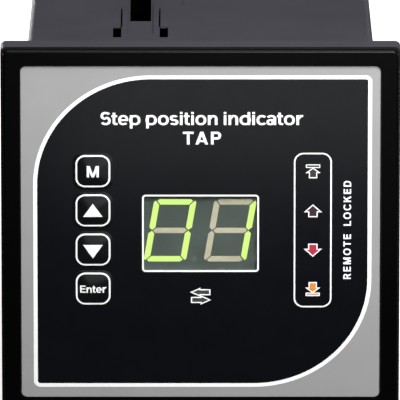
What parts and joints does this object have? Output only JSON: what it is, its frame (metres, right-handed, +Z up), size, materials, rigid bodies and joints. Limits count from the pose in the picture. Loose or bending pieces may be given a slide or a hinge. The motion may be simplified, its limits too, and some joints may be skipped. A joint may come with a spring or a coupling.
{
  "type": "panel-mount digital position indicator",
  "caption": "Square panel-mount digital position indicator: black case, printed film front with a lit digit window, arrow lamps and a column of press keys, terminals at the back.",
  "frame": {"origin": "centre of the bezel flange's back face, on the panel's front face", "axes": "+X to the right seen from the front, +Z up, +Y into the panel; the front faces -Y"},
  "size_m": [0.12, 0.1207, 0.12],
  "materials": {
    "case_black": "fine moulded grain",
    "cover_black": "fine moulded grain",
    "frame_black": "satin moulded plastic",
    "plate_dark": "plain moulded plastic",
    "film_grey": "velvet printed film, black field and white lines",
    "key_black": "velvet printed film, embossed",
    "window_clear": "clear acrylic",
    "plunger_brown": "moulded plastic",
    "switch_black": "moulded plastic",
    "display_grey": "painted display face",
    "segment_lit": "lit green diffuser",
    "segment_off": "unlit diffuser",
    "tinned_metal": "tinned",
    "lamp_off": "tinted lens, dark",
    "lamp_red": "lit red lens",
    "lamp_orange": "lit orange lens",
    "board_green": "solder mask on glass laminate",
    "screw_steel": "zinc plated",
    "transformer_core": "lacquered core and winding",
    "relay_white": "moulded case",
    "capacitor_sleeve": "shrink sleeve",
    "chip_black": "moulded package",
    "terminal_green": "moulded nylon"
  },
  "bodies": {
    "case": {"housing": "case_black", "front_frame": "frame_black", "front_plate": "plate_dark", "front_film": "film_grey", "display_window": "window_clear", "key_switches": "switch_black", "display_case": "display_grey", "lit_segments": "segment_lit", "unlit_segments": "segment_off", "display_pins": "tinned_metal", "led_upper_limit": "lamp_off", "led_raise": "lamp_off", "led_lower": "lamp_red", "led_lower_limit": "lamp_orange", "led_link": "lamp_off", "display_board": "board_green", "display_board_screws": "screw_steel", "upper_board_connector": "switch_black", "lower_board_connector": "switch_black", "upper_board": "board_green", "lower_board": "board_green", "power_transformer": "transformer_core", "relays": "relay_white", "capacitors": "capacitor_sleeve", "controller_chip": "chip_black", "input_isolators": "chip_black", "upper_terminal_block": "terminal_green", "lower_terminal_block": "terminal_green", "terminal_screws": "screw_steel", "rear_cover": "cover_black", "rear_cover_screws": "screw_steel"},
    "menu_button": {"menu_key": "key_black", "menu_plunger": "plunger_brown"},
    "up_button": {"up_key": "key_black", "up_plunger": "plunger_brown"},
    "down_button": {"down_key": "key_black", "down_plunger": "plunger_brown"},
    "enter_button": {"enter_key": "key_black", "enter_plunger": "plunger_brown"}
  },
  "joints": [
    {"name": "menu_press", "type": "slide", "parent": "case", "child": "menu_button", "axis": [0, 1, 0], "range_m": [0, 0.0005], "stiffness_N_per_m": 4000},
    {"name": "up_press", "type": "slide", "parent": "case", "child": "up_button", "axis": [0, 1, 0], "range_m": [0, 0.0005], "stiffness_N_per_m": 4000},
    {"name": "down_press", "type": "slide", "parent": "case", "child": "down_button", "axis": [0, 1, 0], "range_m": [0, 0.0005], "stiffness_N_per_m": 4000},
    {"name": "enter_press", "type": "slide", "parent": "case", "child": "enter_button", "axis": [0, 1, 0], "range_m": [0, 0.0005], "stiffness_N_per_m": 4000}
  ]
}
